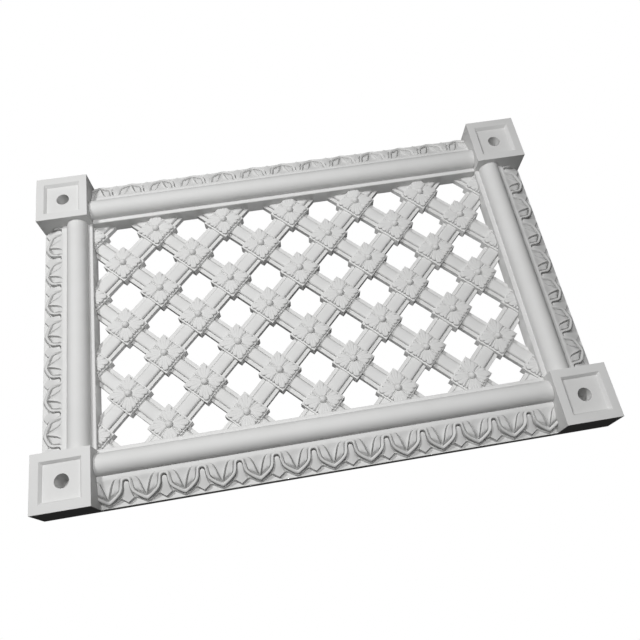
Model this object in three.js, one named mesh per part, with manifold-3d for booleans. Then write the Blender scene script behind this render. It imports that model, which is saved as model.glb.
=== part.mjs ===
// Ventilation grille: a carved frame with four corner blocks, four leaf mouldings and
// a diagonal lattice of straps with a leaf rosette on every crossing.
//
// Millimetres, +Z up, front faces -Y. The back of every piece lies in the plane Y = 0,
// which is the wall. The origin is the middle of the back of the bottom moulding.

import * as THREE from "three";
import { ConvexGeometry } from "three/addons/geometries/ConvexGeometry.js";
import { mergeVertices } from "three/addons/utils/BufferGeometryUtils.js";
import Module from "manifold-3d";

const wasm = await Module();
wasm.setup();

// Overall size
const WIDTH = 600;
const HEIGHT = 400;
const PIECE_GAP = 0.3;

// Corner blocks
const BLOCK_SIDE = 60;
const BLOCK_DEPTH = 40;
const RECESS_SIDE = 42;
const RECESS_DEPTH = 4.5;
const RECESS_SLOPE = 2.6;
const HEAD_BORE = 14.6;
const HEAD_BORE_DEPTH = 20;
const SHANK_BORE = 7;
const BORE_FACETS = 12;

// Mouldings, as wide as the blocks that they run between. Heights are above the wall.
const MOULDING_WIDTH = BLOCK_SIDE;
const OUTER_EDGE_HEIGHT = 9;
const OUTER_EDGE_LEDGE = 3;
const BEAD_RADIUS = 12;
const BEAD_CENTRE_HEIGHT = 22;
const BEAD_FACETS = 8;
const INNER_STRIP_WIDTH = 5;
const INNER_STRIP_HEIGHT = 19.6;
const BAND_TOP_HEIGHT = 23.6;
const BAND_RAIL_WIDTH = 4;
const BAND_GROUND_RISE = 10;
const BAND_WIDTH = MOULDING_WIDTH - INNER_STRIP_WIDTH - 2 * BEAD_RADIUS;

// Leaf ornament on the band
const LEAF_PITCH = 38.4;
const RIBBON_WIDTH = 4;
const RIBBON_DEPTH = 4.2;
const LEAF_SPREAD = 12;
const WEDGE_HOLLOW = 0.8;
const TONGUE_RISE = 1.7;
const SUNK = 1;

// Lattice
const ROSETTE_PITCH = 41.3;
const STRAP_WIDTH = 23.2;
const STRAP_BAND_WIDTH = 13.7;
const STRAP_FILLET_HEIGHT = 6.5;
const STRAP_BAND_HEIGHT = 9.8;
const ROSETTE_SIDE = 33.6;
const PETAL_VALLEY_HEIGHT = 12.5;
const PETAL_TIP_HEIGHT = 13.6;
const PETAL_RIDGE_HEIGHT = 16;
const BUTTON_RADIUS = 4;
const BUTTON_HEIGHT = 20;
const BUTTON_FACETS = 8;

// Places that follow from the sizes
const LONG_LENGTH = WIDTH - 2 * BLOCK_SIDE - 2 * PIECE_GAP;
const SHORT_LENGTH = HEIGHT - 2 * BLOCK_SIDE - 2 * PIECE_GAP;
const OPENING_WIDTH = WIDTH - 2 * MOULDING_WIDTH;
const OPENING_HEIGHT = HEIGHT - 2 * MOULDING_WIDTH;
const CENTRE_HEIGHT = HEIGHT / 2 - MOULDING_WIDTH / 2;

const paint = { color: 0xe3e2df, roughness: 0.62, metalness: 0 };

// Solids: a closed geometry becomes a solid that can be joined and cut.
function toSolid(geometry) {
  const bare = geometry.clone();
  bare.deleteAttribute("normal");
  bare.deleteAttribute("uv");
  const merged = mergeVertices(bare, 1e-4);
  const mesh = new wasm.Mesh({
    numProp: 3,
    vertProperties: new Float32Array(merged.attributes.position.array),
    triVerts: new Uint32Array(merged.index.array),
  });
  return new wasm.Manifold(mesh);
}

function toMesh(name, solid) {
  const result = solid.getMesh();
  const geometry = new THREE.BufferGeometry();
  geometry.setAttribute("position", new THREE.BufferAttribute(new Float32Array(result.vertProperties), 3));
  geometry.setIndex(new THREE.BufferAttribute(new Uint32Array(result.triVerts), 1));
  geometry.computeVertexNormals();
  const mesh = new THREE.Mesh(geometry, new THREE.MeshStandardMaterial(paint));
  mesh.name = name;
  return mesh;
}

function join(solids) {
  return solids.reduce((sum, solid) => sum.add(solid));
}

function hull(points) {
  return toSolid(new ConvexGeometry(points));
}

function box(size, centre) {
  const geometry = new THREE.BoxGeometry(size.x, size.y, size.z);
  geometry.translate(centre.x, centre.y, centre.z);
  return toSolid(geometry);
}

// A section drawn with its first coordinate across (becomes Z) and its second the height
// above the wall (becomes -Y), run along X and centred there.
function runSection(section, length) {
  const shape = new THREE.Shape(section.map(([across, high]) => new THREE.Vector2(across, high)));
  const geometry = new THREE.ExtrudeGeometry(shape, { depth: length, bevelEnabled: false });
  const turn = new THREE.Matrix4().set(
    0, 0, 1, -length / 2,
    0, -1, 0, 0,
    1, 0, 0, 0,
    0, 0, 0, 1,
  );
  geometry.applyMatrix4(turn);
  return toSolid(geometry);
}

// A point on a moulding or the lattice: along, across, and height above the wall.
function at(along, across, high) {
  return new THREE.Vector3(along, -high, across);
}

// Corner block: a sunk square panel with sloped sides, and a fixing hole with a wide
// bore for the screw's head and a narrow one for its shank, which goes right through.
function cornerBlock() {
  const body = box(
    new THREE.Vector3(BLOCK_SIDE, BLOCK_DEPTH, BLOCK_SIDE),
    new THREE.Vector3(0, -BLOCK_DEPTH / 2, 0),
  );
  const half = RECESS_SIDE / 2;
  const floor = half - RECESS_SLOPE;
  const front = BLOCK_DEPTH;
  const bottom = front - RECESS_DEPTH;
  const corners = [[-1, -1], [1, -1], [1, 1], [-1, 1]];
  const recess = hull([
    ...corners.map(([x, z]) => at(x * floor, z * floor, bottom)),
    ...corners.map(([x, z]) => at(x * half, z * half, front)),
    ...corners.map(([x, z]) => at(x * half, z * half, front + SUNK)),
  ]);
  const bore = (diameter, from, to) => {
    const geometry = new THREE.CylinderGeometry(diameter / 2, diameter / 2, to - from, BORE_FACETS);
    geometry.translate(0, -(from + to) / 2, 0);
    return toSolid(geometry);
  };
  return body
    .subtract(recess)
    .subtract(bore(HEAD_BORE, bottom - HEAD_BORE_DEPTH, front))
    .subtract(bore(SHANK_BORE, -SUNK, front));
}

// The carved band's surfaces, by the distance in from the outer edge. The ground is a
// straight slope, and the carving reaches up to an ovolo above it.
function groundHeight(across) {
  const start = OUTER_EDGE_LEDGE;
  const run = BAND_WIDTH - start;
  return OUTER_EDGE_HEIGHT + BAND_GROUND_RISE * Math.max(0, (across - start) / run);
}

function ovoloHeight(across) {
  const share = Math.min(1, Math.max(0, across / BAND_WIDTH));
  const rise = BAND_TOP_HEIGHT - OUTER_EDGE_HEIGHT;
  return OUTER_EDGE_HEIGHT + rise * Math.sqrt(1 - (1 - share) ** 2.2);
}

function mouldingSection() {
  const bead = [];
  const beadCentre = BAND_WIDTH + BEAD_RADIUS;
  for (let i = 0; i <= BEAD_FACETS; i++) {
    const angle = Math.PI * (1 - i / BEAD_FACETS);
    const across = beadCentre + BEAD_RADIUS * Math.cos(angle);
    bead.push([across, BEAD_CENTRE_HEIGHT + BEAD_RADIUS * Math.sin(angle)]);
  }
  const rail = BAND_WIDTH - BAND_RAIL_WIDTH;
  return [
    [0, 0],
    [0, OUTER_EDGE_HEIGHT],
    [OUTER_EDGE_LEDGE, OUTER_EDGE_HEIGHT],
    [rail, groundHeight(rail)],
    [rail, ovoloHeight(rail)],
    [BAND_WIDTH, BAND_TOP_HEIGHT],
    ...bead,
    [MOULDING_WIDTH - INNER_STRIP_WIDTH, INNER_STRIP_HEIGHT],
    [MOULDING_WIDTH, INNER_STRIP_HEIGHT],
    [MOULDING_WIDTH, 0],
  ];
}

// The carving over half a leaf, from the leaf's middle line to the tongue's. A row runs
// across it at each of these stations, from the leaf's tip up to the top of the loop:
// where the ribbon's crest stands (shares of the pitch and of the band's width), and how
// far up the band the row starts on the leaf and ends on the tongue.
const stations = [
  { crest: [0, 0.13], leaf: 0.2, tongue: 0.08 },
  { crest: [0.18, 0.235], leaf: 0.32, tongue: 0.2 },
  { crest: [0.32, 0.44], leaf: 0.5, tongue: 0.34 },
  { crest: [0.38, 0.68], leaf: 0.7, tongue: 0.52 },
  { crest: [0.5, 0.81], leaf: 1, tongue: 0.7 },
];

// How far the leaf's middle wedge reaches from its middle line, at a share of the band.
function wedgeReach(share) {
  const tip = stations[0].leaf;
  return LEAF_SPREAD * Math.max(0, (share - tip) / (1 - tip)) ** 1.3;
}

function carvingRows() {
  const railFoot = (BAND_WIDTH - BAND_RAIL_WIDTH) / BAND_WIDTH;
  const crests = stations.map(({ crest }) => new THREE.Vector2(crest[0] * LEAF_PITCH, crest[1] * BAND_WIDTH));
  const last = crests.length - 1;
  return stations.map(({ leaf, tongue }, i) => {
    const level = new THREE.Vector2(1, 0);
    const direction = crests[Math.min(i + 1, last)].clone().sub(crests[Math.max(i - 1, 0)]).normalize();
    const side = (i === 0 || i === last ? level : direction).clone().rotateAround(new THREE.Vector2(), Math.PI / 2);
    const inner = crests[i].clone().addScaledVector(side, RIBBON_WIDTH / 2);
    const outer = crests[i].clone().addScaledVector(side, -RIBBON_WIDTH / 2);
    const across = i === 0 ? inner.y : Math.min(leaf, railFoot) * BAND_WIDTH;
    const tongueAcross = tongue * BAND_WIDTH;
    const foot = ovoloHeight(crests[i].y) - RIBBON_DEPTH;
    return [
      [0, across, i === 0 ? foot : ovoloHeight(across) - WEDGE_HOLLOW],
      [wedgeReach(leaf), across, i === 0 ? foot : ovoloHeight(across)],
      [inner.x, i === last ? across : inner.y, i === last ? ovoloHeight(across) : foot],
      [crests[i].x, crests[i].y, ovoloHeight(crests[i].y)],
      [outer.x, outer.y, Math.max(foot, OUTER_EDGE_HEIGHT + TONGUE_RISE / 2)],
      [LEAF_PITCH / 2, tongueAcross, groundHeight(tongueAcross) + TONGUE_RISE],
    ];
  });
}

// The carving as one closed slab. Its underside lies inside the moulding.
function carvingSlab(halves) {
  const corners = [];
  const quad = (a, b, c, d) => corners.push(a, b, c, a, c, d);
  const rows = carvingRows();
  const top = rows.length - 1;
  const end = rows[0].length - 1;
  for (let i = -halves; i < halves; i++) {
    const middle = Math.ceil(i / 2) * LEAF_PITCH;
    const mirror = i % 2 === 0 ? 1 : -1;
    const upper = (row, column) => at(middle + mirror * rows[row][column][0], ...rows[row][column].slice(1));
    const lower = (row, column) => upper(row, column).setY(-SUNK);
    const face = (a, b, c, d) => (mirror > 0 ? quad(a, b, c, d) : quad(d, c, b, a));
    const wall = ([r1, c1], [r2, c2]) => face(upper(r1, c1), lower(r1, c1), lower(r2, c2), upper(r2, c2));
    for (let row = 0; row < top; row++) {
      for (let column = 0; column < end; column++) {
        const around = [[row, column], [row, column + 1], [row + 1, column + 1], [row + 1, column]];
        face(...around.map(([r, c]) => upper(r, c)));
        face(...around.reverse().map(([r, c]) => lower(r, c)));
      }
    }
    wall([0, end - 1], [0, end]);
    wall([top, 1], [top, 0]);
    wall([top, 2], [top, 1]);
    if (i === -halves || i === halves - 1) {
      for (let row = 0; row < top; row++) {
        wall([row, end], [row + 1, end]);
      }
      wall([top, end], [top, end - 1]);
      wall([top, end - 1], [top, end - 2]);
      wall([top, end - 2], [top, 2]);
    }
  }
  return toSolid(new THREE.BufferGeometry().setFromPoints(corners));
}

// A moulding, with its outer edge at Z = 0, made along X and cut square at both ends.
// A leaf's tip stands at its middle.
function moulding(length) {
  const halves = 2 * Math.ceil(length / LEAF_PITCH / 2) + 1;
  const keep = box(
    new THREE.Vector3(length, 2 * BLOCK_DEPTH, 2 * MOULDING_WIDTH),
    new THREE.Vector3(0, 0, 0),
  );
  return runSection(mouldingSection(), length).add(carvingSlab(halves).intersect(keep));
}

// A strap of the lattice: a raised band between two flat fillets, along X.
function strapSection() {
  const half = STRAP_WIDTH / 2;
  const band = STRAP_BAND_WIDTH / 2;
  return [
    [half, 0],
    [half, STRAP_FILLET_HEIGHT],
    [band, STRAP_FILLET_HEIGHT],
    [0, STRAP_BAND_HEIGHT],
    [-band, STRAP_FILLET_HEIGHT],
    [-half, STRAP_FILLET_HEIGHT],
    [-half, 0],
  ];
}

// A rosette: four leaf petals that point up, down, left and right and meet in valleys
// along the straps, and a button in the middle. It is as deep as the lattice.
function rosette() {
  const corner = ROSETTE_SIDE / Math.SQRT2;
  const petals = [0, 1, 2, 3].map((quarter) => {
    const top = [
      [0, 0, PETAL_VALLEY_HEIGHT],
      [0.6 * corner, 0, PETAL_RIDGE_HEIGHT],
      [0.5 * corner, 0.5 * corner, PETAL_VALLEY_HEIGHT],
      [0.5 * corner, -0.5 * corner, PETAL_VALLEY_HEIGHT],
      [corner, 0, PETAL_TIP_HEIGHT],
    ];
    const points = top.flatMap(([along, across, high]) => [at(along, across, high), at(along, across, 0)]);
    return hull(points).rotate([0, quarter * 90, 0]);
  });
  const buttonFoot = PETAL_VALLEY_HEIGHT - SUNK;
  const button = new THREE.ConeGeometry(BUTTON_RADIUS, BUTTON_HEIGHT - buttonFoot, BUTTON_FACETS);
  button.rotateX(Math.PI);
  button.translate(0, -(BUTTON_HEIGHT + buttonFoot) / 2, 0);
  return join([...petals, toSolid(button)]);
}

// The lattice, centred on the origin and cut to the opening less the gap.
function lattice() {
  const reach = Math.hypot(OPENING_WIDTH, OPENING_HEIGHT);
  const strapPitch = ROSETTE_PITCH * Math.SQRT2;
  const strapsEachSide = Math.ceil(reach / 2 / strapPitch);
  const strap = runSection(strapSection(), reach + STRAP_WIDTH);
  const solids = [];
  for (let k = -strapsEachSide; k < strapsEachSide; k++) {
    const across = (k + 0.5) * strapPitch;
    const line = strap.translate([0, 0, across]);
    solids.push(line.rotate([0, 45, 0]), line.rotate([0, -45, 0]));
  }
  const flower = rosette();
  const columns = Math.ceil((OPENING_WIDTH / 2 + ROSETTE_SIDE) / ROSETTE_PITCH);
  const rows = Math.ceil((OPENING_HEIGHT / 2 + ROSETTE_SIDE) / ROSETTE_PITCH);
  for (let i = -columns; i <= columns; i++) {
    for (let j = -rows; j <= rows; j++) {
      if (Math.abs(i + j) % 2 === 1) {
        solids.push(flower.translate([i * ROSETTE_PITCH, 0, j * ROSETTE_PITCH]));
      }
    }
  }
  const keep = box(
    new THREE.Vector3(OPENING_WIDTH - 2 * PIECE_GAP, 2 * BLOCK_DEPTH, OPENING_HEIGHT - 2 * PIECE_GAP),
    new THREE.Vector3(0, 0, 0),
  );
  return join(solids).intersect(keep);
}

const grille = new THREE.Group();

const lattice_panel = toMesh("lattice_panel", lattice());
lattice_panel.position.set(0, 0, CENTRE_HEIGHT);
grille.add(lattice_panel);

const blockX = (WIDTH - BLOCK_SIDE) / 2;
const blockZ = (HEIGHT - BLOCK_SIDE) / 2;
const corners = [
  ["top_left", -1, 1],
  ["top_right", 1, 1],
  ["bottom_left", -1, -1],
  ["bottom_right", 1, -1],
];
for (const [corner, x, z] of corners) {
  const block = toMesh(`corner_block_${corner}`, cornerBlock());
  block.position.set(x * blockX, 0, CENTRE_HEIGHT + z * blockZ);
  grille.add(block);
}

// Each moulding stands in a group that is turned about the lattice's middle.
const sides = [
  ["bottom", 0, LONG_LENGTH, HEIGHT / 2],
  ["top", 180, LONG_LENGTH, HEIGHT / 2],
  ["left", 90, SHORT_LENGTH, WIDTH / 2],
  ["right", -90, SHORT_LENGTH, WIDTH / 2],
];
for (const [side, turn, length, edge] of sides) {
  const rail = toMesh(`leaf_moulding_${side}`, moulding(length));
  rail.position.set(0, 0, -edge);
  const turned = new THREE.Group();
  turned.position.set(0, 0, CENTRE_HEIGHT);
  turned.rotation.set(0, THREE.MathUtils.degToRad(turn), 0);
  turned.add(rail);
  grille.add(turned);
}

export default grille;
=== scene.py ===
"""Ventilation grille: a carved lattice in a leaf-banded frame with four corner blocks, painted matt white.

Each carved piece is modelled here on the solid of the same place. Sizes below are in millimetres unless
a name says otherwise. Heights are above the wall: height h is at Y = -h.
"""

import math

import bpy
import numpy as np
from mathutils import Matrix, Vector


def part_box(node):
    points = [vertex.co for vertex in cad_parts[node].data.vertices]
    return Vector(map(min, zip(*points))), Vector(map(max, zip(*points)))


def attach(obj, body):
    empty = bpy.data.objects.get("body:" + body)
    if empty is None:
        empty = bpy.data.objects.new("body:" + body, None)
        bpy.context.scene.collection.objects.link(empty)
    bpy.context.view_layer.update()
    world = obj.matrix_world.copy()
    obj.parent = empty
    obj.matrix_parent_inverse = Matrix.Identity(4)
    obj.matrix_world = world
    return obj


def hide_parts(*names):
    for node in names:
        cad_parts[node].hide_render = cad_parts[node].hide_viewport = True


bl_info = {
    "name": "Ventilation grille",
    "version": (1, 0, 0),
    "blender": (4, 5, 0),
    "location": "View3D > Sidebar > Grille",
    "description": "Models a carved ventilation grille, its paint and a plain studio",
    "category": "Add Mesh",
}

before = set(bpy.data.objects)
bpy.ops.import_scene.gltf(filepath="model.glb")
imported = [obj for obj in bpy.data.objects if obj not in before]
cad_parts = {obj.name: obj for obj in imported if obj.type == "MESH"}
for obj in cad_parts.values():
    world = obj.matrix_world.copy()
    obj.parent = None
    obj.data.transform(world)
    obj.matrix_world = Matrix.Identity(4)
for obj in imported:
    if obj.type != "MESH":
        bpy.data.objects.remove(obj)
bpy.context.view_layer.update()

MM = 0.001

# How near points have to be, in millimetres, to be merged in one sheet and between two lattice
# cells, and how near to a cut's plane to count as on it
SHEET_MERGE = 0.002
CELL_MERGE = 0.02
CUT_TOLERANCE = 0.0005

LATTICE_NODE = "lattice_panel"
BLOCK_NODES = (
    "corner_block_top_left",
    "corner_block_top_right",
    "corner_block_bottom_left",
    "corner_block_bottom_right",
)

# Each moulding's node, and how far its run is turned about Y from the bottom moulding's
MOULDING_TURNS = {
    "leaf_moulding_bottom": 0,
    "leaf_moulding_top": 180,
    "leaf_moulding_left": 90,
    "leaf_moulding_right": -90,
}


# Small helpers for modelling


def only(*objects):
    """Selects these objects alone, the last one active."""
    if bpy.context.object and bpy.context.object.mode != "OBJECT":
        bpy.ops.object.mode_set(mode="OBJECT")
    bpy.ops.object.select_all(action="DESELECT")
    for piece in objects:
        piece.select_set(True)
    bpy.context.view_layer.objects.active = objects[-1]


def new_piece(name):
    """Names the primitive that was just added."""
    piece = bpy.context.object
    piece.name = name
    piece.data.name = name
    return piece


def put_points(mesh, points):
    """Writes a mesh's corners back from millimetres."""
    mesh.vertices.foreach_set("co", (np.asarray(points) * MM).ravel())
    mesh.update()


def edit(piece):
    """Opens a piece in edit mode with all of it selected."""
    only(piece)
    bpy.ops.object.mode_set(mode="EDIT")
    bpy.ops.mesh.select_all(action="SELECT")


def leave_edit():
    """Goes back from edit mode to object mode."""
    bpy.ops.object.mode_set(mode="OBJECT")


def closed_sheet(name, rows):
    """A grid laid along rows of points, with its meeting edges merged and its ends filled."""
    bpy.ops.object.select_all(action="DESELECT")
    bpy.ops.mesh.primitive_grid_add(x_subdivisions=len(rows[0]) - 1, y_subdivisions=len(rows) - 1, size=2)
    piece = new_piece(name)
    put_points(piece.data, np.concatenate(rows))
    edit(piece)
    bpy.ops.mesh.remove_doubles(threshold=SHEET_MERGE * MM)
    bpy.ops.mesh.select_all(action="DESELECT")
    bpy.ops.mesh.select_non_manifold(extend=False, use_wire=False, use_multi_face=False,
                                     use_non_contiguous=False, use_verts=False)
    bpy.ops.mesh.edge_face_add()
    bpy.ops.mesh.select_all(action="SELECT")
    bpy.ops.mesh.normals_make_consistent(inside=False)
    leave_edit()
    return piece


def merge_and_turn_out(piece, distance):
    """Merges corners that meet and points every face outwards."""
    edit(piece)
    bpy.ops.mesh.remove_doubles(threshold=distance * MM)
    bpy.ops.mesh.normals_make_consistent(inside=False)
    leave_edit()


def soften(piece, degrees):
    """Smooth shading, kept crisp across sharper edges."""
    only(piece)
    bpy.ops.object.shade_smooth_by_angle(angle=math.radians(degrees))


def add_modifier(piece, kind, **settings):
    """Adds a modifier, sets it and applies it."""
    only(piece)
    modifier = piece.modifiers.new(kind.lower(), kind)
    for key, value in settings.items():
        setattr(modifier, key, value)
    bpy.ops.object.modifier_apply(modifier=modifier.name)


def copy_of(piece, name):
    """A copy with a mesh of its own."""
    twin = piece.copy()
    twin.data = piece.data.copy()
    twin.name = name
    twin.data.name = name
    bpy.context.scene.collection.objects.link(twin)
    return twin


def move_mesh(piece, matrix):
    """Puts a piece in its place by moving its mesh, so that the object stays at the origin."""
    piece.data.transform(matrix)
    piece.data.update()


def finish_piece(piece, node):
    """Paints a piece, lets it stand for its solid and fixes it to the part."""
    piece.data.materials.clear()
    piece.data.materials.append(paint_material())
    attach(piece, "root")
    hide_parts(node)


def smooth_through(points, where):
    """A smooth curve that never overshoots, through (x, y) points, read at the places in where."""
    x, y = np.array(points, float).T
    step = np.diff(x)
    slope = np.diff(y) / step
    inner = np.where(
        slope[:-1] * slope[1:] > 0,
        3 * (step[:-1] + step[1:])
        / ((2 * step[1:] + step[:-1]) / np.where(slope[:-1] == 0, 1, slope[:-1])
           + (step[1:] + 2 * step[:-1]) / np.where(slope[1:] == 0, 1, slope[1:])),
        0,
    )
    tangent = np.concatenate([[slope[0]], inner, [slope[-1]]])
    where = np.clip(where, x[0], x[-1])
    i = np.clip(np.searchsorted(x, where, side="right") - 1, 0, len(step) - 1)
    t = (where - x[i]) / step[i]
    return (
        y[i] * (1 + 2 * t) * (1 - t) ** 2
        + step[i] * tangent[i] * t * (1 - t) ** 2
        + y[i + 1] * t * t * (3 - 2 * t)
        + step[i] * tangent[i + 1] * t * t * (t - 1)
    )


def ease(x, low, high):
    """0 below low, 1 above high, with a soft turn between."""
    t = np.clip((x - low) / (high - low), 0, 1)
    return t * t * (3 - 2 * t)


def between(start, end, share):
    """The value at a share of the way from start to end."""
    return start + (end - start) * share


# Paint


class Value:
    """A shader socket that takes part in sums."""

    def __init__(self, shader, socket):
        self.shader = shader
        self.socket = socket

    def _maths(self, operation, *others):
        return self.shader.add("ShaderNodeMath", {"operation": operation}, [self, *others])

    def __add__(self, other):
        return self._maths("ADD", other)

    def __sub__(self, other):
        return self._maths("SUBTRACT", other)

    def __mul__(self, other):
        return self._maths("MULTIPLY", other)

    def __rsub__(self, other):
        return self.shader.add("ShaderNodeMath", {"operation": "SUBTRACT"}, [other, self])

    __radd__ = __add__
    __rmul__ = __mul__

    def between(self, low, high, to_low=0.0, to_high=1.0):
        """Spreads the range from low to high over to_low to to_high, and stops at both ends."""
        inputs = {"Value": self, "From Min": low, "From Max": high, "To Min": to_low, "To Max": to_high}
        return self.shader.add("ShaderNodeMapRange", {"clamp": True}, inputs)


class Shader:
    """Adds nodes to a material."""

    def __init__(self, material):
        material.use_nodes = True
        self.tree = material.node_tree
        self.tree.nodes.clear()

    def add(self, kind, settings=None, inputs=None, output=0):
        """Adds a node, sets it, then fills its inputs with numbers, colours or other sockets."""
        node = self.tree.nodes.new(kind)
        for key, value in (settings or {}).items():
            setattr(node, key, value)
        pairs = inputs.items() if isinstance(inputs, dict) else enumerate(inputs or [])
        for key, value in pairs:
            if isinstance(value, Value):
                self.tree.links.new(value.socket, node.inputs[key])
            elif value is not None:
                node.inputs[key].default_value = value
        return Value(self, node.outputs[output]) if len(node.outputs) else None

    def mix(self, share, first, second):
        """A colour between two colours."""
        inputs = {0: share, 6: first, 7: second}
        return self.add("ShaderNodeMix", {"data_type": "RGBA"}, inputs, 2)


def paint_material():
    """Matt off-white paint over carved wood, faintly uneven from the brush, with duller patches."""
    name = "matt_white_paint"
    if name in bpy.data.materials:
        return bpy.data.materials[name]
    finish = bpy.context.scene.grille_finish
    material = bpy.data.materials.new(name)
    shader = Shader(material)
    place = shader.add("ShaderNodeTexCoord", output=3)

    def noise(scale, detail, roughness=0.5):
        settings = {"noise_dimensions": "3D"}
        inputs = {"Vector": place, "Scale": scale, "Detail": detail, "Roughness": roughness}
        return shader.add("ShaderNodeTexNoise", settings, inputs)

    broad = noise(9.0, 2.0)
    patches = noise(55.0, 3.0)
    grain = noise(900.0, 2.0)
    brushed = noise(260.0, 4.0, 0.6)
    shade = (broad * 0.5 + patches * 0.5).between(0.35, 0.65)
    tint = (*finish.paint_tint, 1.0)
    full = (*finish.paint, 1.0)
    colour = shader.mix(shade, tint, full)
    roughness = patches.between(0.3, 0.7, finish.roughness - 0.04, finish.roughness + 0.05)
    height = brushed * 0.7 + grain * 0.3
    bump = shader.add("ShaderNodeBump", {}, {"Strength": 0.12, "Distance": 0.0002, "Height": height})
    inputs = {
        "Base Color": colour,
        "Roughness": roughness,
        "Specular IOR Level": finish.specular,
        "Normal": bump,
    }
    surface = shader.add("ShaderNodeBsdfPrincipled", {}, inputs)
    shader.add("ShaderNodeOutputMaterial", {}, {"Surface": surface})
    return material


# Mouldings: a half-round bead beside a band carved with leaves and darts. Places across a
# moulding are measured from its outer edge inwards

# A leaf is drawn at this length and stretched to the pitch that is set
LEAF_LENGTH = 38.4
LEAF_HALF = LEAF_LENGTH / 2

# Places along half a leaf, from its tip, where the ribbon's loop ends and the dart starts
LOOP_END = 9.6
DART_START = 13.3

# Heights of the plinth, the sunk ground and the rail, and how far across the carving ends
PLINTH_HEIGHT = 9.2
SUNK_GROUND = 10.6
RAIL_HEIGHT = 23.6
CARVING_EDGE = 27.0

# The bead, a hair narrower than round so that its foot clears the groove before it, then the
# inner strip and the moulding's width
BEAD_CENTRE = 43.0
BEAD_RADIUS = 12.0
BEAD_NARROWING = 0.999
BEAD_BASE = 22.0
BEAD_SEGMENTS = 18
GROOVE_PLACE = 31.0
STRIP_HEIGHT = 19.6
MOULDING_WIDTH = 60.0

# No column of points stands closer than this to a moulding's end
END_CLEARANCE = 0.15


def band_top(across):
    """Height of the band's full face, before it is carved."""
    points = [(0, 9.4), (2, 11.4), (4.4, 14.0), (8, 16.9), (12, 19.3), (21, 22), (27, 23.4),
              (31, RAIL_HEIGHT)]
    return smooth_through(points, across)


def band_ground(across):
    """Height of the ground between the carved forms."""
    points = [(0, 9.2), (4, 10.6), (12, 14.6), (22, 18.4), (27, 21.2), (31, RAIL_HEIGHT)]
    return smooth_through(points, across)


def ribbon_edges():
    """The ribbon's outer edge, crest and inner edge over half a leaf, as three (x, across) lines."""
    crest = np.array([(0, 4.4), (2.6, 5.6), (6.3, 7.7), (9.7, 10.0), (12.2, 12.5), (13.5, 15.2),
                      (14.0, 18.0), (14.35, 20.8), (15.1, 23.2), (16.8, 24.9), (LEAF_HALF, 25.4)])
    lengths = np.concatenate([[0], np.cumsum(np.hypot(*np.diff(crest, axis=0).T))])
    fine = np.linspace(0, lengths[-1], 500)
    x = smooth_through(np.stack([lengths, crest[:, 0]], 1), fine)
    y = smooth_through(np.stack([lengths, crest[:, 1]], 1), fine)
    run_x = np.gradient(x)
    run_y = np.gradient(y) * ease(lengths[-1] - fine, 0, 2.0)
    length = np.hypot(run_x, run_y)
    half = np.interp(fine, [0, lengths[-1]], [1.9, 1.5])
    outer = (x + run_y / length * half, y - run_x / length * half)
    inner = (x - run_y / length * half, y + run_x / length * half)
    return outer, (x, y), inner


def slant(curve, x):
    """How much longer a curve is than its run along x."""
    step = 0.05
    return np.sqrt(1 + ((curve(x + step) - curve(x - step)) / (2 * step)) ** 2)


def leaf_columns(pitch):
    """Places along half a leaf, closer where the ribbon climbs."""
    steps = [
        np.linspace(0, 10.4, 15, endpoint=False),
        np.linspace(10.4, 16.6, 27, endpoint=False),
        np.linspace(16.6, LEAF_HALF, 6),
    ]
    return np.concatenate(steps) / LEAF_HALF * pitch / 2


def zigzag(x):
    """The plinth's edge beside the dart."""
    return smooth_through([(LOOP_END, 6.9), (11.4, 7.5), (12.6, 7.3), (13.4, 6.7), (LEAF_HALF, 2.6)], x)


def dart_side(x):
    """How far across the dart reaches."""
    points = [(DART_START, 6.95), (14.5, 9.0), (15.6, 12.2), (16.2, 16.0), (16.5, 19.5), (17.3, 21.8),
              (LEAF_HALF, 22.7)]
    return smooth_through(points, x)


def wedge_edge(x):
    """How far across the wedge between two leaflets starts."""
    points = [(0, 7.6), (0.6, 9.4), (1.5, 12.0), (3.2, 17.0), (5.25, 22.0), (7.0, 24.6), (8.75, 26.0),
              (10.6, 26.8), (12.2, CARVING_EDGE), (LEAF_HALF, CARVING_EDGE)]
    return smooth_through(points, x)


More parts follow.
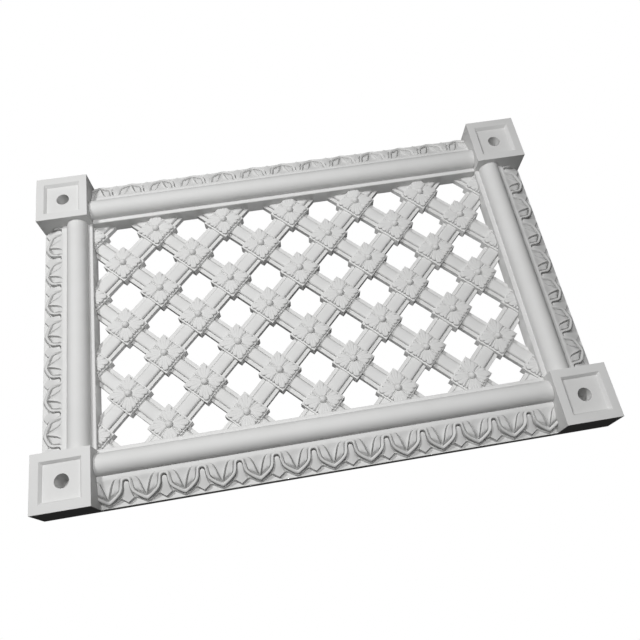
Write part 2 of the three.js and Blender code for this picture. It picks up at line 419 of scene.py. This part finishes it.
class HalfLeaf:
    """The carved band over half a leaf, at each place x from the leaf's tip.

    Its lines run from the outer edge inwards: the plinth's foot, dart_foot and dart_end, then low,
    mid and high, which are the ribbon's outer edge, crest and inner edge, then valley and wedge.
    """

    def __init__(self, x):
        outer, crest, inner = ribbon_edges()
        self.x = x
        self.rows = []
        self.low = np.interp(x, *outer)
        self.mid = np.maximum(np.interp(x, *crest), self.low + 0.5)
        self.high = np.minimum(np.maximum(np.interp(x, *inner), self.mid + 0.5), 26.75)
        self.low_slant = slant(lambda at: np.interp(at, *outer), x)
        self.high_slant = slant(lambda at: np.interp(at, *inner), x)
        follows_loop = self.low - 0.62 * np.minimum(self.low_slant, 1.35)
        self.foot = np.minimum(np.where(x < LOOP_END, follows_loop, zigzag(x)), self.low - 0.5)
        self.ledge = 11.5 + 0.8 * ease(x, LOOP_END, 12.0)
        self.on_dart = x > DART_START
        self.dart_foot = self.foot + 0.06
        least = self.dart_foot + 0.1
        self.dart_end = np.where(self.on_dart, np.maximum(dart_side(x), least), least)
        self.dart_slant = slant(dart_side, x)
        self.wedge = np.clip(wedge_edge(x), self.high + 0.2, 26.95)
        self.wedge_slant = slant(wedge_edge, x)
        gap = self.wedge - self.high
        self.valley = self.wedge - np.minimum(0.95 * self.wedge_slant, 0.45 * gap)
        self.open_ground = ease(gap, 0.4, 3)

    def dart_height(self, across):
        """Height of the dart, a tongue whose point hangs below the ribbon's loop."""
        from_side = np.clip((self.dart_end - across) / self.dart_slant, 0, None)
        points = [(0, 12.7), (2.5, 13.1), (7, 14.5), (12, 16.6), (18, 19.0), (23, 20.4)]
        crown = smooth_through(points, across)
        crown = crown + 0.35 * ease(LEAF_HALF - self.x, 4.5, 0)
        dropped = crown - 0.5 * (1 - np.clip(from_side / 0.8, 0, 1)) ** 2
        return np.where(self.on_dart, dropped, self.ledge - 0.1)

    def sunk_height(self, across):
        """Height of the sunk ground beside the ribbon, deepest under the top of its loop."""
        pocket = 3.2 * ease(across, 18.5, 22.0)
        at_rise = band_ground(across) - 1.6 - pocket
        rising = between(SUNK_GROUND, at_rise, ease(self.x, LOOP_END, DART_START))
        return np.where(self.x < LOOP_END, SUNK_GROUND, rising)

    def groove_floor(self, across):
        """Height of the ground between the ribbon and the wedge."""
        depth = 0.3 + (band_top(across) - band_ground(across) + 0.5) * self.open_ground
        return band_top(across) - depth * ease(26.5 - across, 0, 5.5)

    def leaflet_height(self, across):
        """Height of the leaflet, a lens that falls to the ribbon and to the wedge's foot."""
        floor = self.groove_floor(across)
        crown = band_top(across) - 0.9 * ease(26.5 - across, 0, 6)
        at_end = 1 - ease(self.x, 6.5, 11.5)
        by_ribbon = np.clip((across - self.high) / self.high_slant / between(0.9, 2.1, at_end), 0, 1)
        by_wedge = np.clip((self.valley - across) / self.wedge_slant / 1.4, 0, 1)
        ribbon_side = 1 - (1 - by_ribbon) ** between(2.2, 1.2, at_end)
        wedge_side = 1 - (1 - by_wedge) ** 2.2
        swell = np.minimum(ribbon_side, wedge_side)
        return between(floor, np.maximum(crown, floor), swell * self.open_ground)

    def row(self, across, height):
        """Lays one row of points along the leaf."""
        self.rows.append((across + 0 * self.x, height + 0 * self.x))

    def lay_plinth(self):
        """The plinth, and the ledge under the carving."""
        toe = np.maximum(self.foot - 1.4, 0.4)
        self.row(0, 8.8)
        self.row(0.2, PLINTH_HEIGHT)
        self.row(between(0.2, toe, 0.7), PLINTH_HEIGHT)
        self.row(toe, np.maximum(PLINTH_HEIGHT, self.ledge - 2.2 * (self.foot - toe)))
        self.row(self.foot, self.ledge)

    def lay_dart(self):
        """The dart, and the sunk ground between it and the ribbon."""
        for share in (0.0, 0.1, 0.25, 0.42, 0.6, 0.76, 0.88, 0.96, 1.0):
            across = between(self.dart_foot, self.dart_end, share)
            self.row(across, self.dart_height(across))
        for share in (0.12, 0.5, 0.9):
            across = between(self.dart_end, self.low, share)
            self.row(across, self.sunk_height(across))

    def lay_ribbon(self):
        """The ribbon, a strap with a rounded back."""
        outer_ground = self.sunk_height(self.low)
        inner_ground = self.groove_floor(self.high)
        for share, rise in ((-1, 0), (-0.95, 0.72), (-0.84, 0.9), (-0.5, 0.98), (0, 1),
                            (0.45, 0.97), (0.76, 0.86), (0.92, 0.55), (1, 0)):
            edge = self.low if share < 0 else self.high
            across = between(self.mid, edge, abs(share))
            ground = outer_ground if share < 0 else inner_ground
            crest = between(band_top(across), band_top(self.mid), 0.6) + 0.7 * ease(24 - across, 0, 14)
            self.row(across, between(ground, crest, rise))

    def lay_leaflet(self):
        """The leaflet, which runs out under the rail."""
        for share in (0.05, 0.11, 0.22, 0.4, 0.6, 0.76, 0.88, 0.96):
            across = between(self.high, self.valley, share)
            self.row(across, self.leaflet_height(across))

    def lay_wedge(self):
        """The wedge, hollowed along its middle, and the plain rail that it runs into."""
        wedge_top = band_top(self.wedge) - 0.1
        self.row(self.valley, self.groove_floor(self.valley))
        half_way = between(self.groove_floor(self.wedge), wedge_top, 0.55)
        self.row(between(self.valley, self.wedge, 0.5), half_way)
        self.row(self.wedge, wedge_top)
        hollowing = 1.1 * ease(9.0 - self.x, 0, 9.0)
        for share in (0.08, 0.22, 0.4, 0.6, 0.8, 0.93):
            across = between(self.wedge, CARVING_EDGE, share)
            dip = hollowing * ease(share, 0, 0.4) * ease(CARVING_EDGE - across, 0, 6)
            self.row(across, band_top(across) - dip)
        self.row(CARVING_EDGE, band_top(CARVING_EDGE))
        self.row(29.5, 23.55)
        self.row(30.75, RAIL_HEIGHT)

    def carve(self):
        """Lays every row, from the band's outer edge to the rail, as (across, height)."""
        self.lay_plinth()
        self.lay_dart()
        self.lay_ribbon()
        self.lay_leaflet()
        self.lay_wedge()
        return self.rows


def plain_rows():
    """The bead, the inner strip and the hidden sides, after the carved band, as (across, height)."""
    rows = [(GROOVE_PLACE, 23.3), (GROOVE_PLACE, 22.2)]
    for i in range(BEAD_SEGMENTS + 1):
        angle = math.pi * (1 - i / BEAD_SEGMENTS)
        across = BEAD_CENTRE + BEAD_RADIUS * math.cos(angle) * BEAD_NARROWING
        rows.append((across, BEAD_BASE + BEAD_RADIUS * math.sin(angle)))
    rows += [
        (55.0, 19.75),
        (55.15, STRIP_HEIGHT),
        (59.5, STRIP_HEIGHT),
        (MOULDING_WIDTH, 19.1),
        (MOULDING_WIDTH, 0.0),
        (0.0, 0.0),
    ]
    return rows


def moulding(name, length, pitch):
    """One moulding, its back on the wall, run along X with its outer edge at across 0."""
    half = leaf_columns(pitch)
    carved = HalfLeaf(half * LEAF_LENGTH / pitch).carve()

    # The columns of points along the moulding, and which of half a leaf's columns each repeats
    count = len(half)
    periods = int(math.ceil(length / pitch)) + 2
    along, source = [], []
    for i in range(-periods, periods):
        for k in range(2 * count - 2):
            step = k if k < count else 2 * count - 2 - k
            offset = half[step] if k < count else pitch - half[step]
            along.append((i + 0.5) * pitch - pitch / 2 + offset)
            source.append(step)
    along, source = np.array(along), np.array(source)
    inside = np.abs(along) < length / 2 - END_CLEARANCE
    along, source = along[inside], source[inside]

    # The two ends, which cut a leaf wherever they fall
    ends = np.array([-length / 2, length / 2])
    from_tip = np.abs(ends - pitch * np.round(ends / pitch))
    end_rows = HalfLeaf(from_tip * LEAF_LENGTH / pitch).carve()
    along = np.concatenate([ends[:1], along, ends[1:]])
    rows = []
    for (across, height), (end_across, end_height) in zip(carved, end_rows):
        line = np.concatenate([end_across[:1], across[source], end_across[1:]])
        high = np.concatenate([end_height[:1], height[source], end_height[1:]])
        rows.append(np.stack([along, -high, line], 1))
    for across, height in plain_rows():
        rows.append(np.stack([along, np.full_like(along, -height), np.full_like(along, across)], 1))
    rows.append(rows[0].copy())
    piece = closed_sheet(name, rows)
    soften(piece, degrees=40)
    return piece


class GRILLE_OT_mouldings(bpy.types.Operator):
    """Model the four leaf-carved mouldings round the opening"""

    bl_idname = "grille.mouldings"
    bl_label = "Leaf mouldings"
    bl_options = {"REGISTER", "UNDO"}

    def execute(self, context):
        sizes = context.scene.grille_sizes
        pitch = sizes.leaf_pitch / MM
        for node, turn in MOULDING_TURNS.items():
            low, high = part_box(node)
            size = (high - low) / MM
            middle = (high + low) / 2 / MM
            length = max(size.x, size.z)
            piece = moulding(node + "_carved", length, pitch)
            width = min(size.x, size.z)
            spin = Matrix.Rotation(math.radians(turn), 4, "Y")
            inwards = spin @ Vector((0, 0, 1))
            edge = Vector((middle.x, 0, middle.z)) - inwards * width / 2
            move_mesh(piece, Matrix.Translation(edge * MM) @ spin)
            finish_piece(piece, node)
        return {"FINISHED"}


# Lattice: crossed straps with a leaf rosette on a square plate where they meet

# Angles in degrees, from a petal's middle line, of the notches in its edge
NOTCHES = (12.3, 31.9)

# A petal's reach across its notches, and the round of its tip
PETAL_REACH = 13.9
TIP_CENTRE = 16.3
TIP_RADIUS = 4.25

# The button's foot, and the plate's corners and heights
BUTTON_FOOT = 4.15
PLATE_CORNER = 24.0
PLATE_HEIGHT = 11.9
PLATE_EDGE_HEIGHT = 11.65

# The straps are drawn from under the plate to half way to the next rosette, at this pitch
DRAWN_ROSETTE_PITCH = 41.3
STRAP_START = 13.0
STRAP_MIDDLE = 21.0
STRAP_END = 29.2

QUARTER_TURN = math.radians(90)


def petal_outline(angle):
    """How far a petal reaches at an angle from its middle line, with a lobe between two notches."""
    first_notch, second_notch = np.radians(NOTCHES)
    straight = (np.cos(angle) + np.sin(angle)) / math.sqrt(2)
    reach = PETAL_REACH / straight
    for start, end, swell in ((first_notch, second_notch, 1.6), (second_notch, QUARTER_TURN / 2, 1.4)):
        share = np.clip((angle - start) / (end - start), 0, 1)
        reach = reach + swell / straight * np.sqrt(np.clip(1 - (2 * share - 1) ** 2, 0, 1))
    chord = np.clip(TIP_RADIUS**2 - (TIP_CENTRE * np.sin(angle)) ** 2, 0, None)
    tip = np.cos(angle) * TIP_CENTRE + np.sqrt(chord)
    blend = np.clip(angle / first_notch, 0, 1) ** 6
    rounded = np.maximum(tip * (1 - blend) + reach * blend, reach)
    return np.where(angle < first_notch, rounded, reach)


def petal_height(share, angle, radius):
    """Height of a petal at a share of the way from the button to its edge."""
    points = [(0, 15.1), (0.1, 15.8), (0.4, 15.6), (0.8, 15.5), (0.93, 15.3), (1.0, 14.7)]
    along = smooth_through(points, share)

    # The groove between two petals, wide and deep in millimetres
    diagonal = radius * np.sin(QUARTER_TURN / 2 - angle)
    wide = smooth_through([(4, 0.5), (5.2, 0.7), (8.4, 1.5), (12, 1.0), (15.5, 0.6), (22, 0.6)], radius)
    deep = smooth_through([(4, 0.8), (5.2, 1.5), (8.4, 2.1), (12, 2.1), (15.5, 2.2), (22, 2.2)], radius)
    valley = deep * np.clip(1 - diagonal / wide, 0, 1) ** 0.8

    # Faint veins, one along the middle and one to each notch, where it ends in a pit
    veins = 0
    for vein, pit in ((0.0, 0.0), (NOTCHES[0], 0.9), (NOTCHES[1], 0.9)):
        near = np.clip(1 - np.abs(angle - math.radians(vein)) / math.radians(2.0), 0, 1)
        veins = veins + near * (0.25 * ease(share, 0.1, 0.4) + pit * ease(share, 0.9, 1.0))
    return along - valley - veins


def rosette(name):
    """One rosette on its plate, with its petals along X and Z, round the origin."""
    half = np.radians([0, 1.3, 4.5, 7.5, 9.8, 11.3, 12.3, 13.3, 15, 18, 22, 26.3, 29.4, 31.0, 31.9,
                       32.8, 34.3, 37, 40.4, 43.2, 45])
    quarter = np.concatenate([half, (QUARTER_TURN - half[::-1])[1:-1]])
    angles = np.concatenate([quarter + QUARTER_TURN * i for i in range(4)])
    fold = np.concatenate([np.minimum(quarter, QUARTER_TURN - quarter)] * 4)
    reach = petal_outline(fold)
    plate = PLATE_CORNER / (np.cos(fold) + np.sin(fold))

    # Rings of points from the button's top, over the petals, to the foot of the plate
    rings = [(0.0, 20.0), (1.8, 19.5), (3.1, 18.4), (3.8, 16.9), (3.95, 14.9)]
    for share in (0.0, 0.1, 0.33, 0.58, 0.8, 0.93, 1.0):
        radius = BUTTON_FOOT + (reach - BUTTON_FOOT) * share
        rings.append((radius, petal_height(np.full_like(fold, share), fold, radius)))
    rings += [
        (reach + 0.12, 12.0),
        (plate - 0.25, PLATE_HEIGHT),
        (plate, PLATE_EDGE_HEIGHT),
        (plate, 0.0),
    ]
    rows = []
    for radius, height in rings:
        places = (radius * np.cos(angles), -height, radius * np.sin(angles))
        ring = np.stack(np.broadcast_arrays(*places), 1)
        rows.append(np.concatenate([ring, ring[:1]]))
    return closed_sheet(name, rows)


def strap_arm(name, turn, pitch):
    """One strap from under the plate to half way to the next rosette."""
    side = [(11.6, 0.0), (11.6, 6.25), (11.35, 6.5), (7.7, 6.5), (7.45, 5.2), (7.0, 5.2), (6.95, 7.5),
            (6.7, 8.4), (6.0, 9.1), (4.8, 9.55), (2.5, 9.75)]
    section = side + [(0.0, 9.8)] + [(-v, h) for v, h in reversed(side)]
    # Rounded, because a setting is held to seven digits only
    stretch = round(pitch / DRAWN_ROSETTE_PITCH, 6)
    places = (STRAP_START, STRAP_MIDDLE, STRAP_END * stretch)
    outline = section + section[:1]
    rows = [np.array([(across, -height, along) for across, height in outline]) for along in places]
    piece = closed_sheet(name, rows)
    move_mesh(piece, Matrix.Rotation(math.radians(turn), 4, "Y"))
    return piece


def select_where(piece, test):
    """Selects the faces that pass a test and nothing else. The piece is in object mode."""
    mesh = piece.data
    for group in (mesh.vertices, mesh.edges, mesh.polygons):
        group.foreach_set("select", [False] * len(group))
    for face in mesh.polygons:
        face.select = test(face)


def lattice_cell(pitch):
    """A rosette with its four half straps, open at the ends where the next ones join."""
    cell = rosette("lattice_cell")
    arms = [strap_arm(f"strap_arm_{turn}", turn, pitch) for turn in (45, 135, 225, 315)]
    only(*arms)
    bpy.ops.object.join()
    cross = bpy.context.object
    add_modifier(cell, "BOOLEAN", operation="UNION", solver="EXACT", object=cross)
    bpy.data.objects.remove(cross)
    end = pitch / math.sqrt(2)

    def on_end(face):
        middle = face.center / MM
        normal = face.normal
        out = (abs(middle.x) + abs(middle.z)) / math.sqrt(2)
        upright = abs(normal.y) < 0.1 and abs(abs(normal.x) - abs(normal.z)) < 0.1
        return abs(out - end) < 0.05 and upright

    only(cell)
    select_where(cell, on_end)
    bpy.ops.object.mode_set(mode="EDIT")
    bpy.ops.mesh.delete(type="FACE")
    bpy.ops.mesh.select_all(action="SELECT")
    bpy.ops.mesh.dissolve_limited(angle_limit=math.radians(0.4))
    leave_edit()
    return cell


def spread_cells(cell, pitch, half_x, half_z):
    """Copies the cell over the panel, on every other place of a square grid, and joins the copies."""
    across = int(half_x // pitch) + 2
    up = int(half_z // pitch) + 2

    # A cell reaches one pitch from its middle. A cell that only touches the opening is left out
    reach = pitch * 0.999
    copies = []
    for i in range(-across, across + 1):
        for j in range(-up, up + 1):
            outside = abs(i) * pitch - reach > half_x or abs(j) * pitch - reach > half_z
            if (i + j) % 2 == 0 or outside:
                continue
            twin = copy_of(cell, f"cell_{i}_{j}")
            move_mesh(twin, Matrix.Translation(Vector((i * pitch, 0, j * pitch)) * MM))
            copies.append(twin)
    bpy.data.objects.remove(cell)
    only(*copies)
    bpy.ops.object.join()
    return new_piece(LATTICE_NODE + "_carved")


def cut_to_opening(panel, half_x, half_z):
    """Merges the cells' meeting ends and cuts the panel off at its four sides."""
    edit(panel)
    bpy.ops.mesh.remove_doubles(threshold=CELL_MERGE * MM)
    sides = (((-1, 0, 0), half_x), ((1, 0, 0), half_x), ((0, 0, -1), half_z), ((0, 0, 1), half_z))
    for outwards, half in sides:
        normal = Vector(outwards)
        bpy.ops.mesh.select_all(action="SELECT")
        bpy.ops.mesh.bisect(plane_co=normal * half * MM, plane_no=normal,
                            use_fill=True, clear_outer=True, threshold=CUT_TOLERANCE * MM)
    bpy.ops.mesh.select_all(action="SELECT")
    bpy.ops.mesh.normals_make_consistent(inside=False)
    leave_edit()


class GRILLE_OT_lattice(bpy.types.Operator):
    """Model the pierced lattice with its rosettes"""

    bl_idname = "grille.lattice"
    bl_label = "Lattice"
    bl_options = {"REGISTER", "UNDO"}

    def execute(self, context):
        pitch = context.scene.grille_sizes.rosette_pitch / MM
        low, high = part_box(LATTICE_NODE)
        middle = (low + high) / 2
        half_x, half_z = (high.x - low.x) / 2 / MM, (high.z - low.z) / 2 / MM
        panel = spread_cells(lattice_cell(pitch), pitch, half_x, half_z)
        cut_to_opening(panel, half_x, half_z)
        move_mesh(panel, Matrix.Translation((middle.x, 0, middle.z)))
        soften(panel, degrees=32)
        finish_piece(panel, LATTICE_NODE)
        return {"FINISHED"}


# Corner blocks: plain square blocks with a sunk panel and a fixing hole

# The sunk panel's side at the top of its slope, how wide the slope is and how deep it lies
PANEL_SIDE = 42.0
PANEL_SLOPE = 2.4
PANEL_DEPTH = 4.5

# The hole for the screw's head, which ends this far above the back, and the one for its shank
HEAD_BORE = 14.6
HEAD_SEAT = 6.0
SHANK_BORE = 7.0

EDGE_ROUNDING = 0.35


def corner_block(side, depth):
    """One block round the origin, its back on the wall."""
    bpy.ops.object.select_all(action="DESELECT")
    bpy.ops.mesh.primitive_cube_add(size=1)
    block = new_piece("corner_block")
    size = Matrix.Diagonal(Vector((side * MM, depth * MM, side * MM, 1)))
    move_mesh(block, Matrix.Translation((0, -depth / 2 * MM, 0)) @ size)
    only(block)
    select_where(block, lambda face: face.normal.y < -0.5)
    bpy.ops.object.mode_set(mode="EDIT")
    bpy.ops.mesh.inset(thickness=(side - PANEL_SIDE) / 2 * MM)
    bpy.ops.mesh.inset(thickness=PANEL_SLOPE * MM, depth=0)
    bpy.ops.transform.translate(value=(0, PANEL_DEPTH * MM, 0))
    leave_edit()
    for diameter, start, end in ((HEAD_BORE, HEAD_SEAT, depth + 1), (SHANK_BORE, -1.0, depth)):
        bpy.ops.object.select_all(action="DESELECT")
        bpy.ops.mesh.primitive_cylinder_add(
            vertices=64, radius=diameter / 2 * MM, depth=(end - start) * MM,
            location=(0, -(start + end) / 2 * MM, 0), rotation=(math.radians(90), 0, 0))
        drill = bpy.context.object
        add_modifier(block, "BOOLEAN", operation="DIFFERENCE", solver="EXACT", object=drill)
        bpy.data.objects.remove(drill)
    add_modifier(block, "BEVEL", width=EDGE_ROUNDING * MM, segments=2, limit_method="ANGLE",
                 angle_limit=math.radians(30), use_clamp_overlap=True)
    merge_and_turn_out(block, SHEET_MERGE)
    soften(block, degrees=20)
    return block


class GRILLE_OT_blocks(bpy.types.Operator):
    """Model the four corner blocks"""

    bl_idname = "grille.blocks"
    bl_label = "Corner blocks"
    bl_options = {"REGISTER", "UNDO"}

    def execute(self, context):
        low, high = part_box(BLOCK_NODES[0])
        block = corner_block((high.x - low.x) / MM, (high.y - low.y) / MM)
        for node in BLOCK_NODES:
            low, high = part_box(node)
            twin = copy_of(block, node + "_finished")
            move_mesh(twin, Matrix.Translation(((low.x + high.x) / 2, 0, (low.z + high.z) / 2)))
            finish_piece(twin, node)
        bpy.data.objects.remove(block)
        return {"FINISHED"}


# Studio: a pale floor, soft lights and the camera. Places are in metres

FLOOR_LEVEL = -0.95
FLOOR_SIDE = 10
GRILLE_MIDDLE = Vector((0, 0, 0.17))

# Each light's name, place and width, and the setting that holds its power
LIGHTS = (
    ("key_light", (-0.65, -1.10, 0.50), 0.16, "key_power"),
    ("fill_light", (-0.03, -0.94, 0.08), 0.4, "fill_power"),
    ("back_light", (0.0, 1.60, 0.17), 0.5, "back_power"),
)

# The camera's place, the ways its right, its up and its view point, and its lens in millimetres
CAMERA_PLACE = (-0.03684, -0.66276, -0.15343)
CAMERA_RIGHT = Vector((0.986266, -0.000110, -0.165162))
CAMERA_UP = Vector((0.150088, -0.416783, 0.896530))
CAMERA_VIEW = Vector((0.068935, 0.909006, 0.411042))
CAMERA_LENS = 35.17
CAMERA_SENSOR = 36


def aim(thing, target):
    """Turns a light towards a point."""
    direction = Vector(target) - thing.location
    thing.rotation_euler = direction.to_track_quat("-Z", "Y").to_euler()


def lay_floor(colour):
    """A pale floor that gives off a little light of its own and throws none on the grille."""
    bpy.ops.object.select_all(action="DESELECT")
    bpy.ops.mesh.primitive_grid_add(x_subdivisions=4, y_subdivisions=4, size=FLOOR_SIDE,
                                    location=(0, 0, FLOOR_LEVEL))
    floor = new_piece("studio_floor")
    bpy.ops.object.transform_apply(location=True, rotation=True, scale=True)
    material = bpy.data.materials.new("pale_floor")
    shader = Shader(material)
    inputs = {
        "Base Color": (*colour, 1.0),
        "Roughness": 0.9,
        "Emission Color": (*colour, 1.0),
        "Emission Strength": 0.8,
    }
    surface = shader.add("ShaderNodeBsdfPrincipled", {}, inputs)
    shader.add("ShaderNodeOutputMaterial", {}, {"Surface": surface})
    floor.data.materials.append(material)
    floor.visible_diffuse = False
    floor.visible_glossy = False


def hang_lights(studio):
    """The small main light at the upper left, the fill light in front and the one behind."""
    for name, place, width, power in LIGHTS:
        bpy.ops.object.light_add(type="AREA", location=place)
        lamp = bpy.context.object
        lamp.name = name
        lamp.data.shape = "DISK"
        lamp.data.size = width
        lamp.data.energy = getattr(studio, power)
        aim(lamp, GRILLE_MIDDLE)


def set_surround(scene, strength):
    """A white surround to the camera, which lights the grille only faintly."""
    world = bpy.data.worlds.new("pale_surround")
    scene.world = world
    shader = Shader(world)
    white = (1, 1, 1, 1)
    seen = shader.add("ShaderNodeLightPath", output=0)
    ambient = shader.add("ShaderNodeBackground", {}, {"Color": white, "Strength": strength})
    backdrop = shader.add("ShaderNodeBackground", {}, {"Color": white, "Strength": 1.0})
    both = shader.add("ShaderNodeMixShader", {}, {0: seen, 1: ambient, 2: backdrop})
    shader.add("ShaderNodeOutputWorld", {}, {"Surface": both})
    scene.view_settings.view_transform = "Standard"


def place_camera(scene):
    """The camera in front of the grille, below it and a little to the left."""
    bpy.ops.object.camera_add(location=CAMERA_PLACE)
    camera = bpy.context.object
    camera.name = "camera"
    turn = Matrix((CAMERA_RIGHT, CAMERA_UP, -CAMERA_VIEW)).transposed()
    camera.rotation_euler = turn.to_euler()
    camera.data.lens = CAMERA_LENS
    camera.data.sensor_width = CAMERA_SENSOR
    camera.data.clip_start = 0.01
    camera.data.clip_end = 50
    scene.camera = camera


class GRILLE_OT_studio(bpy.types.Operator):
    """Set up the floor, the lights and the camera"""

    bl_idname = "grille.studio"
    bl_label = "Studio"
    bl_options = {"REGISTER", "UNDO"}

    def execute(self, context):
        studio = context.scene.grille_studio
        lay_floor(studio.floor_colour)
        hang_lights(studio)
        set_surround(context.scene, studio.ambient)
        place_camera(context.scene)
        return {"FINISHED"}


# Settings and panel


class GrilleSizes(bpy.types.PropertyGroup):
    """Sizes of the carving"""

    leaf_pitch: bpy.props.FloatProperty(
        name="Leaf pitch", description="Distance from one leaf to the next along a moulding",
        default=0.0384, min=0.02, max=0.08, unit="LENGTH")
    rosette_pitch: bpy.props.FloatProperty(
        name="Rosette pitch", description="Step between neighbouring columns or rows of rosettes",
        default=0.0413, min=0.03, max=0.08, unit="LENGTH")


class GrilleFinish(bpy.types.PropertyGroup):
    """The paint"""

    paint: bpy.props.FloatVectorProperty(
        name="Paint", description="Colour of the paint where it is cleanest",
        subtype="COLOR", size=3, min=0, max=1, default=(0.66, 0.66, 0.655))
    paint_tint: bpy.props.FloatVectorProperty(
        name="Duller paint", description="Colour of the paint in its duller patches",
        subtype="COLOR", size=3, min=0, max=1, default=(0.63, 0.63, 0.623))
    roughness: bpy.props.FloatProperty(
        name="Roughness", description="How matt the paint is", default=0.62, min=0, max=1, subtype="FACTOR")
    specular: bpy.props.FloatProperty(
        name="Sheen", description="How much the paint reflects", default=0.3, min=0, max=1, subtype="FACTOR")


class GrilleStudio(bpy.types.PropertyGroup):
    """The studio round the grille"""

    floor_colour: bpy.props.FloatVectorProperty(
        name="Floor", description="Colour of the floor",
        subtype="COLOR", size=3, min=0, max=1, default=(0.85, 0.85, 0.84))
    key_power: bpy.props.FloatProperty(
        name="Key light", description="Power of the main light, from the upper left",
        default=8.7, min=0, unit="POWER")
    fill_power: bpy.props.FloatProperty(
        name="Fill light", description="Power of the light beside the camera",
        default=5.2, min=0, unit="POWER")
    back_power: bpy.props.FloatProperty(
        name="Back light", description="Power of the light behind the grille",
        default=20, min=0, unit="POWER")
    ambient: bpy.props.FloatProperty(
        name="Surround", description="Light from all round", default=0.02, min=0, max=2)


class GRILLE_PT_panel(bpy.types.Panel):
    """Lists the grille's pieces and settings"""

    bl_idname = "GRILLE_PT_panel"
    bl_label = "Ventilation grille"
    bl_space_type = "VIEW_3D"
    bl_region_type = "UI"
    bl_category = "Grille"

    def draw(self, context):
        layout = self.layout
        for group in ("grille_sizes", "grille_finish", "grille_studio"):
            settings = getattr(context.scene, group)
            for name in type(settings).__annotations__:
                layout.prop(settings, name)
        for operator in OPERATORS:
            layout.operator(operator.bl_idname)


GROUPS = {"grille_sizes": GrilleSizes, "grille_finish": GrilleFinish, "grille_studio": GrilleStudio}
OPERATORS = (GRILLE_OT_lattice, GRILLE_OT_mouldings, GRILLE_OT_blocks, GRILLE_OT_studio)


def register():
    """Adds the settings, the operators and the panel."""
    for settings in GROUPS.values():
        bpy.utils.register_class(settings)
    for name, settings in GROUPS.items():
        setattr(bpy.types.Scene, name, bpy.props.PointerProperty(type=settings))
    for operator in OPERATORS:
        bpy.utils.register_class(operator)
    bpy.utils.register_class(GRILLE_PT_panel)


def unregister():
    """Takes away what register adds."""
    bpy.utils.unregister_class(GRILLE_PT_panel)
    for operator in reversed(OPERATORS):
        bpy.utils.unregister_class(operator)
    for name in GROUPS:
        delattr(bpy.types.Scene, name)
    for settings in reversed(GROUPS.values()):
        bpy.utils.unregister_class(settings)


def main():
    """Models the grille and its studio."""
    register()
    bpy.ops.grille.lattice()
    bpy.ops.grille.mouldings()
    bpy.ops.grille.blocks()
    bpy.ops.grille.studio()


if __name__ == "__main__":
    main()
